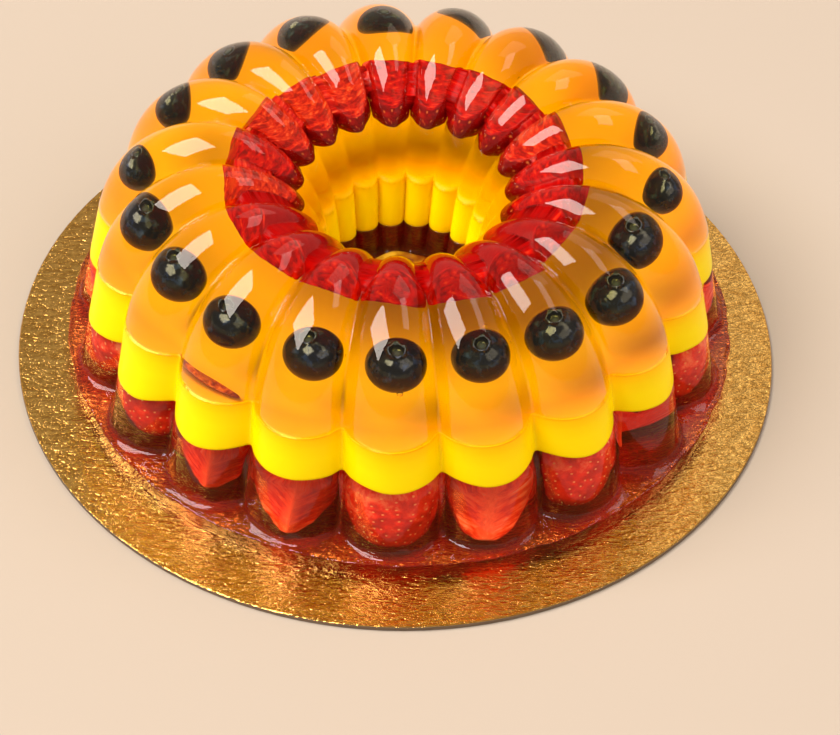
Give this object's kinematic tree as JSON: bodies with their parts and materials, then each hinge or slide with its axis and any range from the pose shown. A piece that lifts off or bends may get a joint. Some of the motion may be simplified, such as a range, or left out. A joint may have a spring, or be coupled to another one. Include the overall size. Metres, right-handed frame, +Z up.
{
  "type": "moulded layered jelly ring on a cake board",
  "caption": "Fluted ring of layered fruit jelly with a round hole, standing on a thin round gold cake board.",
  "frame": {"origin": "middle of the cake board's underside", "axes": "+Z up, through the board's middle; -Y towards the front of the jelly, +X to its right"},
  "size_m": [0.24, 0.24, 0.0818],
  "materials": {
    "gold_foil_card": "card laminated with crinkled gold foil",
    "red_jelly": "clear cherry-red gelatine jelly, wet gloss",
    "yellow_jelly": "opaque lemon-yellow milk jelly, wet gloss",
    "amber_jelly": "clear amber gelatine jelly, wet gloss"
  },
  "bodies": {
    "root": {"cake_board": "gold_foil_card", "jelly_red": "red_jelly", "jelly_yellow": "yellow_jelly", "jelly_amber": "amber_jelly"}
  },
  "joints": []
}
